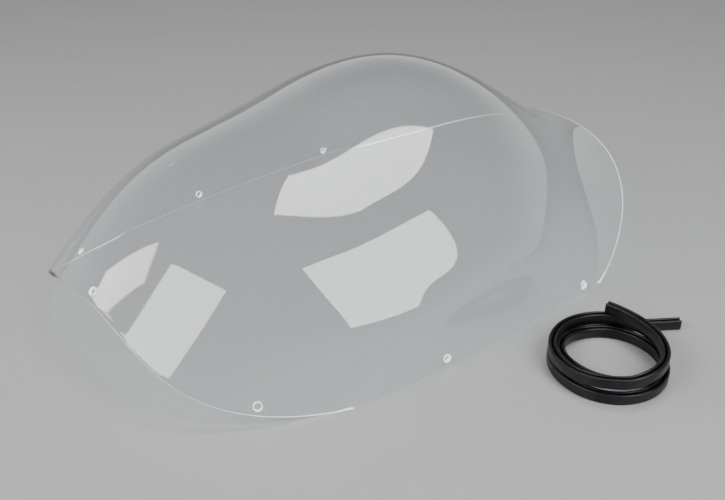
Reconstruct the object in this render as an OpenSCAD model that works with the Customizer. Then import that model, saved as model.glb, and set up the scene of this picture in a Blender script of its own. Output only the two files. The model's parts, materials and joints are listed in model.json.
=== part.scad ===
// Double-bubble windshield screen with its loose length of edge trim.
// Millimetres. +Y runs from the nose to the rear edge, +Z is up, and the origin is
// midway along and across the screen, on the surface that its side edges stand on.

/* [Screen outline] */
// Overall length, nose to rear edge
screen_l = 540; // [480:10:600]
// Width where the nose curve runs into the side edges
nose_w = 340; // [320:2:360]
// Width halfway along the side edges
mid_w = 364; // [350:2:380]
// Width at the two rear corners
rear_w = 362; // [340:2:380]
// Distance from the tip of the nose back to the start of the side edges
nose_depth = 114; // [90:2:130]
// Distance from the rear corners back to the middle of the rear edge
rear_depth = 155; // [120:5:170]
// Squareness of the nose curve in plan
nose_power = 4.4; // [3:0.1:5]
// Squareness of the rear edge in plan
rear_power = 3; // [2:0.1:4]

/* [Screen height] */
// Height of the middle of the nose edge
nose_rise = 57; // [40:1:80]
// Height of the middle of the rear edge
rear_rise = 57; // [40:1:80]
// How quickly the nose and rear edges drop towards the sides
edge_power = 3; // [2:0.1:4]
// Height of the bubble above its edges
bubble_h = 110; // [80:1:130]
// How much fuller the front half is than the rear half
bubble_lean = 5; // [0:1:15]
// Size of the second bubble behind the first
second_bubble = 9.5; // [0:0.5:14]
// Section power at the nose, where 1 is an ellipse and less is squarer
nose_section = 0.45; // [0.4:0.05:1]
// Section power at the rear
rear_section = 0.4; // [0.35:0.05:1]

/* [Sheet and holes] */
// Thickness of the acrylic sheet
sheet_t = 3; // [2:0.5:5]
// Diameter of each fixing hole
hole_d = 5.5; // [4:0.5:8]
// Distance from the edge to the centre of a fixing hole
hole_edge = 7.5; // [6:0.5:15]
// How far round the nose curve its side holes are, from the middle at 0 to the corner at 1
nose_hole_v = 0.41; // [0.3:0.01:0.5]
// Distance of the middle holes behind the nose
middle_hole_y = 200; // [150:5:250]
// Distance of the rear holes behind the nose
rear_hole_y = 360; // [300:5:380]

/* [Edge trim] */
// Height of the trim section
trim_h = 9; // [7:0.5:10]
// Radius of the outermost turn, at the middle of the section
coil_r = 44.5; // [42:0.5:50]
// Radius of the innermost turn, at the middle of the section
inner_r = 38; // [34:0.5:39]

/* [Hidden] */
along_n = 36;           // facets from nose to rear
across_n = 32;          // facets from side to side
crowding = 1.8;         // crowds the facets towards the steep side walls
near_edge = 0.03;       // normals at an edge are taken this far inside it
tiny = 0.001;
drill_l = 6 * sheet_t;  // cuts through the sheet with room at both faces
trim_r = trim_h / 2;
coil_inset = 1;         // the coil's solid stops this far inside the trim's faces
coil_rounding = 2;
coil_at = [258, 25, 0]; // middle of the coil

// Route of the trim from its top end down onto the coil
lead_route = [
    [226, 59.5, 22.5], [236, 61, 22.5], [247, 61.5, 22.5], [259, 60.5, 22.5],
    [272, 57, 22.5], [284, 50, 22.5], [294, 39.5, 22.5], [299.5, 26, 22.5],
    [299.5, 12, 21.5], [294, -1.5, 19.5]
];
// Route of the trim from the coil out to its lower end
tail_route = [
    [222, 52, 4.5], [232, 65, 4.5], [242, 78, 4.5], [252, 91, 4.5], [258, 99.5, 4.5],
    [264, 108, 4.5]
];

function limit(v, low, high) = min(max(v, low), high);
function unit(v) = v / norm(v);

// The sheet's outer face. u runs 0 to 1 from nose to rear and v runs -1 to 1 across it.
function across(v) = 90 * sign(v) * (1 - pow(1 - abs(v), crowding));
function half_w(u) =
    (nose_w * (1 - u) * (1 - 2 * u) + 4 * mid_w * u * (1 - u) + rear_w * u * (2 * u - 1)) / 2;
function nose_y(s) = -screen_l / 2 + nose_depth * pow(abs(s), nose_power);
function rear_y(s) = screen_l / 2 - rear_depth * pow(abs(s), rear_power);
function bubble(u) =
    bubble_h * sin(180 * u) + bubble_lean * sin(360 * u) + second_bubble * sin(720 * u);
function section(u) = nose_section + (rear_section - nose_section) * u;
function outer(u, v) =
    let (s = sin(across(v)), c = max(cos(across(v)), 0))
    [
        half_w(u) * s,
        (1 - u) * nose_y(s) + u * rear_y(s),
        (c < tiny) ? 0
            : ((1 - u) * nose_rise + u * rear_rise) * pow(c, edge_power)
                + max(bubble(u), 0) * pow(c, section(u))
    ];
function normal(u, v) =
    let (
        a = limit(u, near_edge, 1 - near_edge),
        b = limit(v, near_edge - 1, 1 - near_edge),
        along = outer(a + tiny, b) - outer(a - tiny, b),
        side = outer(a, b + tiny) - outer(a, b - tiny)
    )
    unit(cross(side, along));
function inner(u, v) =
    let (p = outer(u, v) - sheet_t * normal(u, v))
    [p.x, p.y, max(p.z, 0)];

// Finds where a face line is a wanted distance from its edge, by halving.
function up_wall(u, want, low = 0, high = 0.5, n = 16) =
    let (mid = (low + high) / 2)
    (n == 0) ? 1 - mid
        : (norm(outer(u, 1 - mid) - outer(u, 1)) < want)
            ? up_wall(u, want, mid, high, n - 1)
            : up_wall(u, want, low, mid, n - 1);
function behind_nose(v, want, low = 0, high = 0.3, n = 16) =
    let (mid = (low + high) / 2)
    (n == 0) ? mid
        : (norm(outer(mid, v) - outer(0, v)) < want)
            ? behind_nose(v, want, mid, high, n - 1)
            : behind_nose(v, want, low, mid, n - 1);

// A hole on the raised nose edge is placed across it, and one on a side edge along it.
side_run = screen_l - nose_depth - rear_depth;
nose_holes = [for (v = [0, nose_hole_v, -nose_hole_v]) [behind_nose(v, hole_edge), v]];
side_holes = [
    for (y = [middle_hole_y, rear_hole_y], side = [1, -1])
        let (u = (y - nose_depth) / side_run)
        [u, side * up_wall(u, hole_edge)]
];

module at_hole(h) {
    n = normal(h[0], h[1]);
    translate(outer(h[0], h[1]))
        rotate([0, acos(n.z), atan2(n.y, n.x)])
        cylinder(h = drill_l, d = hole_d, center = true, $fn = 48);
}

module sheet() {
    row = across_n + 1;
    face_points = row * (along_n + 1);
    function at(i, j) = i * row + j;
    function under(i, j) = face_points + at(i, j);
    function rim(a, b, c, d) = [[a, b, c], [a, c, d]];
    outer_points = [
        for (i = [0:along_n], j = [0:across_n]) outer(i / along_n, 2 * j / across_n - 1)
    ];
    inner_points = [
        for (i = [0:along_n], j = [0:across_n]) inner(i / along_n, 2 * j / across_n - 1)
    ];
    faces = [
        for (i = [0:along_n - 1], j = [0:across_n - 1]) each concat(
            rim(at(i, j), at(i + 1, j), at(i + 1, j + 1), at(i, j + 1)),
            rim(under(i, j), under(i, j + 1), under(i + 1, j + 1), under(i + 1, j))
        ),
        for (i = [0:along_n - 1]) each concat(
            rim(at(i, 0), under(i, 0), under(i + 1, 0), at(i + 1, 0)),
            rim(at(i, across_n), at(i + 1, across_n), under(i + 1, across_n), under(i, across_n))
        ),
        for (j = [0:across_n - 1]) each concat(
            rim(at(0, j), at(0, j + 1), under(0, j + 1), under(0, j)),
            rim(at(along_n, j), under(along_n, j), under(along_n, j + 1), at(along_n, j + 1))
        )
    ];
    polyhedron(concat(outer_points, inner_points), faces, convexity = 6);
}

module screen() {
    color([0.85, 0.9, 0.92, 0.4])
    difference() {
        sheet();
        for (h = concat(nose_holes, side_holes)) at_hole(h);
    }
}

// A round tube along a route, one ring of points at each of its places.
module tube(route, r, sides = 8) {
    last = len(route) - 1;
    function heading(i) = unit(route[min(i + 1, last)] - route[max(i - 1, 0)]);
    function ring(i) =
        let (f = heading(i), side = unit(cross(f, [0, 0, 1])), up = cross(side, f))
        [for (k = [0:sides - 1]) let (a = 360 * (k + 0.5) / sides)
            route[i] + r / cos(180 / sides) * (cos(a) * side + sin(a) * up)];
    points = [for (i = [0:last]) each ring(i)];
    walls = [
        for (i = [0:last - 1], k = [0:sides - 1])
            let (a = i * sides + k, b = i * sides + (k + 1) % sides)
            each [[a, b, b + sides], [a, b + sides, a + sides]]
    ];
    ends = [
        [for (k = [sides - 1:-1:0]) k],
        [for (k = [0:sides - 1]) last * sides + k]
    ];
    polyhedron(points, concat(walls, ends), convexity = 4);
}

// The coil is two turns wide and two turns high.
module trim_coil() {
    inside = inner_r - trim_r + coil_inset;
    outside = coil_r + trim_r - coil_inset;
    color([0.06, 0.06, 0.06])
    translate(coil_at)
    rotate_extrude($fn = 72)
    translate([inside + coil_rounding, coil_rounding])
    offset(r = coil_rounding, $fn = 16)
    square([outside - inside - 2 * coil_rounding, 2 * trim_h - 2 * coil_rounding]);
}

module trim_lead() {
    color([0.06, 0.06, 0.06])
    tube(lead_route, trim_r);
}

module trim_tail() {
    color([0.06, 0.06, 0.06])
    tube(tail_route, trim_r);
}

screen();
trim_coil();
trim_lead();
trim_tail();
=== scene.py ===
import json
import math

import bmesh
import bpy
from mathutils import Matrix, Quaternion, Vector


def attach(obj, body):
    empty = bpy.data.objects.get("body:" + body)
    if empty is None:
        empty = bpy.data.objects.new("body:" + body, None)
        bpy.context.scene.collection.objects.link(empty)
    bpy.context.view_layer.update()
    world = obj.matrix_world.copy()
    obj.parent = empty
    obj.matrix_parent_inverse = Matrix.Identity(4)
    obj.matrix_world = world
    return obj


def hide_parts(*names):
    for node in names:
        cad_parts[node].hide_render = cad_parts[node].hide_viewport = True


mm = 0.001

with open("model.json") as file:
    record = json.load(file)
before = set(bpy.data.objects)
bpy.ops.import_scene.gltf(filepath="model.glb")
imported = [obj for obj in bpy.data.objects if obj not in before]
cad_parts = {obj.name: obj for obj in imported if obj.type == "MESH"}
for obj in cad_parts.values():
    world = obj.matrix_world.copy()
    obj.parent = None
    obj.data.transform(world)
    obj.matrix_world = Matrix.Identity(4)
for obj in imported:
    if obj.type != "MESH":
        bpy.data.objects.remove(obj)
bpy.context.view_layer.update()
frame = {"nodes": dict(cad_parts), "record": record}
print("frame loaded:", ", ".join(sorted(frame["nodes"])))

cameraSet = {
    "at": (0.566, -0.483, 0.440),
    "tilt": 59.1,  # degrees up from looking straight down
    "turn": 49.7,
    "lens": 46.2,
}


def makeCamera():
    data = bpy.data.cameras.new("camera")
    data.lens = cameraSet["lens"]
    camera = bpy.data.objects.new("camera", data)
    camera.location = cameraSet["at"]
    camera.rotation_euler = (math.radians(cameraSet["tilt"]), 0, math.radians(cameraSet["turn"]))
    bpy.context.scene.collection.objects.link(camera)
    bpy.context.scene.camera = camera


makeCamera()
print("camera placed")


class Wire:
    # one output socket, which plain arithmetic can be done on

    def __init__(self, nodes, socket):
        self.nodes = nodes
        self.socket = socket

    def out(self, name):
        return Wire(self.nodes, self.socket.node.outputs[name])

    def maths(self, operation, *values):
        return self.nodes.add("ShaderNodeMath", {"operation": operation}, dict(enumerate(values)))

    def __add__(self, other):
        return self.maths("ADD", self, other)

    def __sub__(self, other):
        return self.maths("SUBTRACT", self, other)

    def __rsub__(self, other):
        return self.maths("SUBTRACT", other, self)

    def __mul__(self, other):
        return self.maths("MULTIPLY", self, other)

    def __pow__(self, other):
        return self.maths("POWER", self, other)

    def __abs__(self):
        return self.maths("ABSOLUTE", self)

    def atLeast(self, low):
        return self.maths("MAXIMUM", self, low)

    __radd__ = __add__
    __rmul__ = __mul__


class Nodes:
    # adds nodes to one tree

    def __init__(self, tree):
        self.tree = tree

    def add(self, kind, settings=None, sockets=None):
        node = self.tree.nodes.new(kind)
        for name, value in (settings or {}).items():
            setattr(node, name, value)
        for key, value in (sockets or {}).items():
            for one in value if isinstance(value, list) else [value]:
                if isinstance(one, Wire):
                    self.tree.links.new(one.socket, node.inputs[key])
                else:
                    node.inputs[key].default_value = one
        return Wire(self, node.outputs[0]) if node.outputs else None


def newMaterial(name):
    material = bpy.data.materials.new(name)
    material.use_nodes = True
    material.node_tree.nodes.clear()
    return material, Nodes(material.node_tree)


def noise(nodes, place, scale, detail=2.0, roughness=0.5):
    return nodes.add("ShaderNodeTexNoise", None, {
        "Vector": place, "Scale": scale, "Detail": detail, "Roughness": roughness})


def ramp(nodes, value, low, high):
    # 0 below low, 1 above high
    return nodes.add("ShaderNodeMapRange", {"interpolation_type": "SMOOTHSTEP"}, {
        "Value": value, "From Min": low, "From Max": high})


def mixColour(nodes, mask, first, second):
    mixed = nodes.add("ShaderNodeMix", {"data_type": "RGBA"}, {0: mask, 6: first, 7: second})
    return mixed.out(2)


def bump(nodes, height, distance, strength):
    return nodes.add("ShaderNodeBump", None, {
        "Height": height, "Distance": distance, "Strength": strength})


def addPiece(name, mesh):
    piece = bpy.data.objects.new(name, mesh)
    bpy.context.scene.collection.objects.link(piece)
    return piece


# the edge trim is one loose length of rubber channel, wound in a coil
trim = {
    "height": 9 * mm,
    "width": 6.3 * mm,
    "slot": 1.9 * mm,
    "floor": 2.4 * mm,  # rubber below the slot
    "heel": 1.9 * mm,  # rounding of the two outer corners below
    "rib": 0.4 * mm,  # how far the gripping ribs stand into the slot
    "ribsAt": (1.9 * mm, 0.1 * mm),  # above the middle of the section
    "sharpAngle": 50,  # degrees
    "ringStep": 2.5 * mm,
    "coilAt": (258 * mm, 25 * mm),
    "outerTurn": 44.5 * mm,
    "turnGap": 6.5 * mm,
    "turns": 2.5,
    "startAngle": 139.7,
    "pointsPerTurn": 24,
    "exit": (205 * mm, 60 * mm, 10 * mm),
}

# the top end of the trim, down onto the coil
leadRoute = [
    (0.226, 0.0595, 0.0225), (0.236, 0.061, 0.0225), (0.247, 0.0615, 0.0225), (0.259, 0.0605, 0.0225),
    (0.272, 0.057, 0.0225), (0.284, 0.050, 0.0225), (0.294, 0.0395, 0.0225), (0.2995, 0.026, 0.0225),
    (0.2995, 0.012, 0.0215), (0.294, -0.0015, 0.0195),
]
# from the coil out to the lower end
tailRoute = [
    (0.222, 0.052, 0.0045), (0.232, 0.065, 0.0045), (0.242, 0.078, 0.0045), (0.252, 0.091, 0.0045),
    (0.258, 0.0995, 0.0045), (0.264, 0.108, 0.0045),
]


def ease(value):
    value = min(max(value, 0), 1)
    return value * value * (3 - 2 * value)


def coilPoint(turn):
    # counted in turns from the lower end: two turns side by side, then up and over them
    angle = math.radians(trim["startAngle"] + 360 * turn)
    inward = ease((turn - 0.4) / 0.5) - ease((turn - 1.6) / 0.4)
    radius = trim["outerTurn"] - trim["turnGap"] * inward
    layer = 0.5 + ease((turn - 1.0) / 0.38) + ease((turn - 2.2) / 0.5)
    x, y = trim["coilAt"]
    return Vector((x + radius * math.cos(angle), y + radius * math.sin(angle), trim["height"] * layer))


def evenly(points, step):
    # points at even steps along one smooth curve through all of these
    padded = [2 * points[0] - points[1], *points, 2 * points[-1] - points[-2]]
    parts = 16  # straight parts between two points
    fine = []
    for a, b, c, d in zip(padded, padded[1:], padded[2:], padded[3:]):
        for i in range(parts):
            t = i / parts
            fine.append((2 * b + (c - a) * t + (2 * a - 5 * b + 4 * c - d) * t ** 2
                         + (3 * b - a - 3 * c + d) * t ** 3) / 2)
    fine.append(points[-1])
    total = sum((b - a).length for a, b in zip(fine, fine[1:]))
    count = round(total / step)
    made, walked, wanted = [], 0, 0
    for a, b in zip(fine, fine[1:]):
        long = (b - a).length
        while walked + long >= wanted * total / count and wanted < count:
            made.append(a.lerp(b, (wanted * total / count - walked) / long))
            wanted += 1
        walked += long
    return made + [points[-1]], total


def trimPath():
    turns, each = trim["turns"], trim["pointsPerTurn"]
    coil = [coilPoint(turns - i / each) for i in range(1, round(turns * each))]
    route = [Vector(p) for p in leadRoute] + coil + [Vector(p) for p in tailRoute]
    return evenly(route, trim["ringStep"])


def arc(x, y, radius, start, end, steps):
    angles = [math.radians(start + (end - start) * i / steps) for i in range(steps + 1)]
    return [(x + radius * math.cos(a), y + radius * math.sin(a)) for a in angles]


def trimSection():
    # right half from the bottom up over the lip and down into the slot, then its mirror image
    half, top = trim["width"] / 2, trim["height"] / 2
    slot, rib = trim["slot"] / 2, trim["rib"]
    lip = (half - slot) / 2
    heel = trim["heel"]
    right = arc(half - heel, heel - top, heel, -90, 0, 6)
    right += arc(half - lip, top - lip, lip, 0, 180, 8)
    for y in trim["ribsAt"]:
        right += [(slot, y + 0.5 * mm), (slot - rib, y - 0.1 * mm)]
        right += [(slot - rib, y - 0.3 * mm), (slot, y - 0.4 * mm)]
    right += arc(0, trim["floor"] + slot - top, slot, 0, -90, 4)
    return right[:-1] + [(-x, y) for x, y in reversed(right)][:-1] + [(0, -top)]


def makeTrim(material):
    path, length = trimPath()
    section = trimSection()
    around = [0]
    for (x1, y1), (x2, y2) in zip(section, section[1:] + section[:1]):
        around.append(around[-1] + math.hypot(x2 - x1, y2 - y1))
    shape = bmesh.new()
    uv = shape.loops.layers.uv.new("UVMap")
    rings = []
    for i, point in enumerate(path):
        heading = (path[min(i + 1, len(path) - 1)] - path[max(i - 1, 0)]).normalized()
        side = heading.cross(Vector((0, 0, 1))).normalized()
        up = side.cross(heading)
        rings.append([shape.verts.new(point + side * x + up * y) for x, y in section])
    count = len(section)
    for i, (near, far) in enumerate(zip(rings, rings[1:])):
        for k in range(count):
            j = (k + 1) % count
            face = shape.faces.new((near[k], near[j], far[j], far[k]))
            face.smooth = True
            places = [(i, k), (i, k + 1), (i + 1, k + 1), (i + 1, k)]
            for loop, (along, place) in zip(face.loops, places):
                loop[uv].uv = (along * trim["ringStep"], around[place])
    for ring in (rings[0], rings[-1]):
        face = shape.faces.new(ring)
        for loop, (x, y) in zip(face.loops, section):
            loop[uv].uv = (x, y)
    bmesh.ops.recalc_face_normals(shape, faces=shape.faces)
    mesh = bpy.data.meshes.new("edgeTrim")
    shape.to_mesh(mesh)
    shape.free()
    mesh.set_sharp_from_angle(angle=math.radians(trim["sharpAngle"]))
    mesh.materials.append(material)
    piece = addPiece("edge_trim", mesh)
    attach(piece, "trim")
    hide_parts("trim_coil", "trim_lead", "trim_tail")
    return length


def rubberMaterial():
    material, nodes = newMaterial("extrudedRubber")
    coords = nodes.add("ShaderNodeTexCoord")
    stretched = nodes.add("ShaderNodeMapping", None, {"Vector": coords.out("UV"), "Scale": (6, 1400, 1)})
    dieLines = noise(nodes, stretched, 1.0, 3.0, 0.6)
    cloudy = noise(nodes, coords.out("Object"), 70.0, 3.0)
    grain = noise(nodes, coords.out("Object"), 1800.0, 2.0)
    bloom = ramp(nodes, cloudy * 0.7 + dieLines * 0.3, 0.42, 0.68)
    height = dieLines * 0.7 + grain * 0.3
    shader = nodes.add("ShaderNodeBsdfPrincipled", None, {
        "Base Color": mixColour(nodes, bloom, (0.003, 0.003, 0.0035, 1), (0.010, 0.010, 0.011, 1)),
        "Roughness": 0.30 + bloom * 0.16 + dieLines * 0.08,
        "Normal": bump(nodes, height, 0.00012, 0.5),
        "IOR": 1.38,
        "Sheen Weight": 0.02,
        "Sheen Roughness": 0.4,
    })
    nodes.add("ShaderNodeOutputMaterial", None, {"Surface": shader})
    return material


trimLength = makeTrim(rubberMaterial())
print(f"edge trim wound, {trimLength:.3f} m long")

# the screen is one formed sheet
screenSizes = {
    "length": 540 * mm,
    "noseWidth": 340 * mm,
    "middleWidth": 364 * mm,
    "rearWidth": 362 * mm,
    "noseDepth": 114 * mm,
    "rearDepth": 155 * mm,
    "nosePower": 4.4,
    "rearPower": 3.0,
    "noseRise": 57 * mm,
    "rearRise": 57 * mm,
    "edgePower": 3.0,
    "bubble": 110 * mm,
    "bubbleLean": 5 * mm,
    "secondBubble": 9.5 * mm,
    "noseSection": 0.45,
    "rearSection": 0.40,
    "crowding": 1.8,
    "thickness": 3 * mm,
    "pointsAlong": 171,
    "pointsAcross": 151,
}
# sizes that only the look depends on
screenFinish = {
    "edgeRound": 0.8 * mm,
    "holeChamfer": 0.6 * mm,
    "holeSides": 56,
    "edgeSegments": 3,
    "cornerAngle": 50,  # degrees, past which a corner is rounded
    "sharpAngle": 34,  # degrees
}


def acrylicMaterial():
    material, nodes = newMaterial("clearAcrylic")
    place = nodes.add("ShaderNodeTexCoord").out("Object")
    draw = noise(nodes, place, 9.0, 1.0)  # the slow waves left by forming
    dust = ramp(nodes, noise(nodes, place, 950.0, 2.0), 0.70, 0.78)
    haze = noise(nodes, place, 22.0, 3.0)
    sheet = nodes.add("ShaderNodeBsdfPrincipled", None, {
        "Base Color": mixColour(nodes, dust, (0.975, 0.985, 0.985, 1), (0.80, 0.81, 0.81, 1)),
        "Roughness": 0.004 + haze * 0.012 + dust * 0.10,
        "Normal": bump(nodes, draw, 0.0010, 0.12),
        "IOR": 1.49,
        "Transmission Weight": 1.0,
    })
    # light on its way to the floor goes straight through, and only a little of it is lost
    passing = nodes.add("ShaderNodeBsdfTransparent", None, {"Color": (0.95, 0.96, 0.96, 1)})
    path = nodes.add("ShaderNodeLightPath")
    lit = nodes.add("ShaderNodeMixShader", None, {0: path.out("Is Shadow Ray"), 1: sheet, 2: passing})
    surface = nodes.add("ShaderNodeMixShader", None, {0: path.out("Is Diffuse Ray"), 1: lit, 2: passing})
    nodes.add("ShaderNodeOutputMaterial", None, {"Surface": surface})
    return material


def edgeMaterialWithPaintedGlow(name, lineScale, roughness):
    # a cut edge, sanded and buffed, with a painted glow: its emission stands in for light that the sheet
    # would carry to it
    material, nodes = newMaterial(name)
    place = nodes.add("ShaderNodeTexCoord").out("Object")
    lines = noise(nodes, place, lineScale, 3.0, 0.6)
    worn = ramp(nodes, noise(nodes, place, 60.0, 2.0), 0.35, 0.70)
    shader = nodes.add("ShaderNodeBsdfPrincipled", None, {
        "Base Color": mixColour(nodes, worn, (0.97, 0.98, 0.98, 1), (0.90, 0.92, 0.92, 1)),
        "Roughness": roughness + worn * 0.10 + lines * 0.08,
        "Normal": bump(nodes, lines, 0.00008, 0.5),
        "IOR": 1.49,
        "Transmission Weight": 0.15,
        "Coat Weight": 0.3,
        "Coat Roughness": 0.1,
        # painted glow: the cut edges give off light of their own, so they show as bright lines all round
        "Emission Color": (0.90, 0.95, 0.96, 1),
        "Emission Strength": 0.75,  # painted glow, so that the edges read as bright lines though no lamp shines from them
    })
    nodes.add("ShaderNodeOutputMaterial", None, {"Surface": shader})
    return material


def geometryTree(name, sizes):
    tree = bpy.data.node_groups.new(name, "GeometryNodeTree")
    for key, value in sizes.items():
        kind = "NodeSocketInt" if isinstance(value, int) else "NodeSocketFloat"
        tree.interface.new_socket(key, in_out="INPUT", socket_type=kind)
    tree.interface.new_socket("Geometry", in_out="OUTPUT", socket_type="NodeSocketGeometry")
    nodes = Nodes(tree)
    given = nodes.add("NodeGroupInput")
    return nodes, {key: given.out(key) for key in sizes}


def runTree(name, nodes, sizes):
    builder = addPiece(name, bpy.data.meshes.new(name))
    modifier = builder.modifiers.new(name, "NODES")
    modifier.node_group = nodes.tree
    for item in nodes.tree.interface.items_tree:
        if item.in_out == "INPUT":
            modifier[item.identifier] = sizes[item.name]
    return builder


def asPlainMesh(builder, name):
    graph = bpy.context.evaluated_depsgraph_get()
    mesh = bpy.data.meshes.new_from_object(builder.evaluated_get(graph), depsgraph=graph)
    builder.modifiers.clear()
    bpy.data.objects.remove(builder)
    mesh.name = name
    return mesh


def faceOfScreen(s, u, v):
    # where the outer face is: u runs 0 to 1 from nose to rear, v runs -1 to 1 across
    turn = (1 - (1 - abs(v)).atLeast(0) ** s["crowding"]) * (math.pi / 2)
    sine = turn.maths("SINE", turn)
    cosine = turn.maths("COSINE", turn).atLeast(0)
    back = 1 - u
    width = s["noseWidth"] * back * (1 - 2 * u) + 4 * s["middleWidth"] * u * back
    width = width + s["rearWidth"] * u * (2 * u - 1)
    noseY = s["noseDepth"] * sine ** s["nosePower"] - s["length"] * 0.5
    rearY = s["length"] * 0.5 - s["rearDepth"] * sine ** s["rearPower"]

    def wave(cycles):
        angle = u * (math.pi * cycles)
        return angle.maths("SINE", angle)

    bubble = s["bubble"] * wave(1) + s["bubbleLean"] * wave(2) + s["secondBubble"] * wave(4)
    section = s["noseSection"] * back + s["rearSection"] * u
    rise = s["noseRise"] * back + s["rearRise"] * u
    z = rise * cosine ** s["edgePower"] + bubble.atLeast(0) * cosine ** section
    return u.nodes.add("ShaderNodeCombineXYZ", None, {
        0: width * 0.5 * sine * v.maths("SIGN", v), 1: back * noseY + u * rearY, 2: z})


def sheetTree(sheetMaterial, cutMaterialWithPaintedGlow):
    nodes, s = geometryTree("formedSheet", screenSizes)
    flat = nodes.add("GeometryNodeMeshGrid", None, {
        "Size X": 1, "Size Y": 2, "Vertices X": s["pointsAlong"], "Vertices Y": s["pointsAcross"]})
    at = nodes.add("ShaderNodeSeparateXYZ", None, {0: nodes.add("GeometryNodeInputPosition")})
    formed = nodes.add("GeometryNodeSetPosition", None, {
        "Geometry": flat, "Position": faceOfScreen(s, at.out("X") + 0.5, at.out("Y"))})
    outer = nodes.add("GeometryNodeFlipFaces", None, {0: formed})
    inner = nodes.add("GeometryNodeExtrudeMesh", None, {
        "Mesh": outer, "Offset Scale": s["thickness"] * -1, "Individual": False})
    walls = inner.out("Side")
    shell = nodes.add("GeometryNodeJoinGeometry", None, {
        0: [inner, nodes.add("GeometryNodeFlipFaces", None, {0: outer})]})
    closed = nodes.add("GeometryNodeMergeByDistance", None, {"Geometry": shell, "Distance": 0.00001})
    outward = nodes.add("GeometryNodeFlipFaces", None, {0: closed})
    now = nodes.add("ShaderNodeSeparateXYZ", None, {0: nodes.add("GeometryNodeInputPosition")})
    standing = nodes.add("GeometryNodeSetPosition", None, {
        "Geometry": outward,
        "Position": nodes.add("ShaderNodeCombineXYZ", None, {
            0: now.out("X"), 1: now.out("Y"), 2: now.out("Z").atLeast(0)})})
    smooth = nodes.add("GeometryNodeSetShadeSmooth", None, {"Geometry": standing})
    real = nodes.add("GeometryNodeRealizeInstances", None, {0: smooth})
    clear = nodes.add("GeometryNodeSetMaterial", None, {"Geometry": real, "Material": sheetMaterial})
    cut = nodes.add("GeometryNodeSetMaterial", None, {
        "Geometry": clear, "Selection": walls, "Material": cutMaterialWithPaintedGlow})
    nodes.add("NodeGroupOutput", None, {0: cut})
    return nodes


def makeDrills(material):
    # one spool-shaped cutter for each fixing hole, so that a hole gets its small chamfers too
    shape = bmesh.new()
    half, chamfer = screenSizes["thickness"] / 2, screenFinish["holeChamfer"]
    sides = screenFinish["holeSides"]
    for mount in frame["record"]["mounts"]:
        if mount["kind"] != "bore":
            continue
        radius = mount["dims"]["r_mm"] * mm
        axis, middle = Vector(mount["axis"]), Vector(mount["pos_m"])
        across = axis.orthogonal().normalized()
        other = axis.cross(across)
        wide = radius + 3 * chamfer
        outline = [(half - chamfer, radius), (half + 2 * chamfer, wide), (4 * half, wide)]
        rings = []
        angles = [2 * math.pi * i / sides for i in range(sides)]
        spokes = [across * math.cos(a) + other * math.sin(a) for a in angles]
        for along, reach in [(-a, r) for a, r in reversed(outline)] + outline:
            rings.append([shape.verts.new(middle + axis * along + spoke * reach) for spoke in spokes])
        for low, high in zip(rings, rings[1:]):
            for i in range(sides):
                j = (i + 1) % sides
                shape.faces.new((low[i], low[j], high[j], high[i]))
        shape.faces.new(rings[0])
        shape.faces.new(rings[-1])
    bmesh.ops.recalc_face_normals(shape, faces=shape.faces)
    mesh = bpy.data.meshes.new("drills")
    shape.to_mesh(mesh)
    shape.free()
    mesh.materials.append(material)
    return addPiece("drills", mesh)


def makeScreen():
    # both edge materials carry a painted glow from their emission
    edge = edgeMaterialWithPaintedGlow("buffedEdgePaintedGlow", 900.0, 0.12)
    drilled = edgeMaterialWithPaintedGlow("drilledEdgePaintedGlow", 1500.0, 0.20)
    clear = acrylicMaterial()
    builder = runTree("sheetBuilder", sheetTree(clear, edge), screenSizes)
    builder.data.materials.append(clear)
    builder.data.materials.append(edge)
    bevel = builder.modifiers.new("roundedEdge", "BEVEL")
    bevel.width = screenFinish["edgeRound"]
    bevel.segments = screenFinish["edgeSegments"]
    bevel.limit_method = "ANGLE"
    bevel.angle_limit = math.radians(screenFinish["cornerAngle"])
    bevel.material = 1  # the rounded corners are buffed too, and carry the same painted glow
    drills = makeDrills(drilled)
    cut = builder.modifiers.new("holes", "BOOLEAN")
    cut.object = drills
    cut.solver = "EXACT"
    cut.material_mode = "TRANSFER"
    mesh = asPlainMesh(builder, "screenSheet")
    bpy.data.objects.remove(drills)
    mesh.shade_smooth()
    mesh.set_sharp_from_angle(angle=math.radians(screenFinish["sharpAngle"]))
    piece = addPiece("screen_sheet", mesh)
    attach(piece, "screen")
    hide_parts("screen")
    print("screen formed and drilled:", len(mesh.polygons), "faces,", len(mesh.materials), "materials")


makeScreen()

studio = {
    "floorSize": 40.0,
    "floorColour": (0.36, 0.36, 0.36, 1),
    "aim": (0.05, -0.04, 0.08),  # what every soft box points at
}
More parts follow.
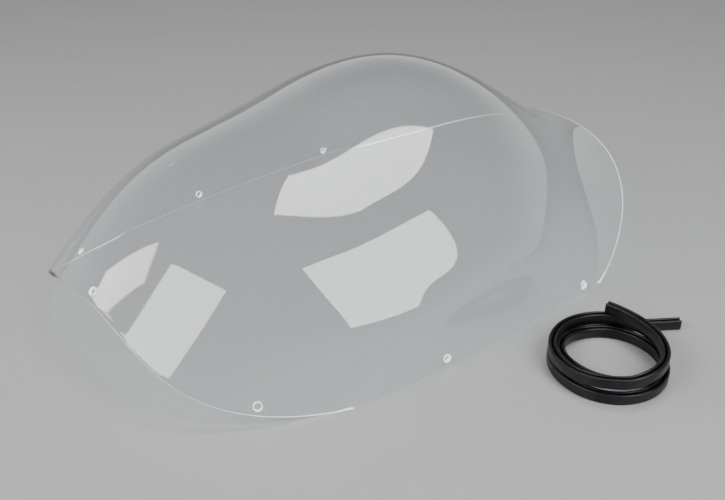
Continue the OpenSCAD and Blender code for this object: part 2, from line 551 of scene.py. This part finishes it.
# place, width, height, degrees of spin, watts and colour of each soft box
softBoxes = {
    "right": ((1.07, 0.06, 0.99), 0.58, 1.06, -5, 18.0, (0.97, 0.98, 1.0)),
    "front": ((0.0, -1.12, 0.88), 0.83, 0.64, 12, 14.5, (0.97, 0.98, 1.0)),
    "overhead": ((0.06, 0.30, 1.54), 0.49, 0.60, -41, 10.0, (0.98, 0.98, 1.0)),
    "left": ((-0.74, -0.89, 0.66), 0.25, 0.43, -21, 2.8, (1.0, 0.95, 0.97)),
}


def makeFloor():
    half = studio["floorSize"] / 2
    shape = bmesh.new()
    corners = [(-half, -half, 0), (half, -half, 0), (half, half, 0), (-half, half, 0)]
    shape.faces.new([shape.verts.new(corner) for corner in corners])
    mesh = bpy.data.meshes.new("floor")
    shape.to_mesh(mesh)
    shape.free()
    material, nodes = newMaterial("paleFloor")
    place = nodes.add("ShaderNodeTexCoord").out("Object")
    fine = noise(nodes, place, 90.0, 3.0)
    shader = nodes.add("ShaderNodeBsdfPrincipled", None, {
        "Base Color": studio["floorColour"], "Roughness": 0.30 + fine * 0.06})
    nodes.add("ShaderNodeOutputMaterial", None, {"Surface": shader})
    mesh.materials.append(material)
    addPiece("floor", mesh)


def makeLights():
    for name, (place, width, height, spin, watts, colour) in softBoxes.items():
        data = bpy.data.lights.new(name, "AREA")
        data.shape = "RECTANGLE"
        data.size = width
        data.size_y = height
        data.energy = watts
        data.color = colour
        lamp = bpy.data.objects.new(name, data)
        lamp.location = place
        aimed = (Vector(studio["aim"]) - Vector(place)).to_track_quat("-Z", "Y")
        lamp.rotation_euler = (aimed @ Quaternion((0, 0, 1), math.radians(spin))).to_euler()
        bpy.context.scene.collection.objects.link(lamp)


def makeWorld():
    # pale at the level of the horizon and darker overhead
    world = bpy.data.worlds.new("studio")
    world.use_nodes = True
    world.node_tree.nodes.clear()
    nodes = Nodes(world.node_tree)
    way = nodes.add("ShaderNodeSeparateXYZ", None, {0: nodes.add("ShaderNodeTexCoord").out("Generated")})
    overhead = ramp(nodes, way.out("Z"), 0.0, 0.6)
    colour = mixColour(nodes, overhead, (0.92, 0.93, 0.94, 1), (0.16, 0.16, 0.17, 1))
    light = nodes.add("ShaderNodeBackground", None, {"Color": colour, "Strength": 0.8})
    nodes.add("ShaderNodeOutputWorld", None, {"Surface": light})
    bpy.context.scene.world = world


makeFloor()
makeLights()
makeWorld()
print("studio set")
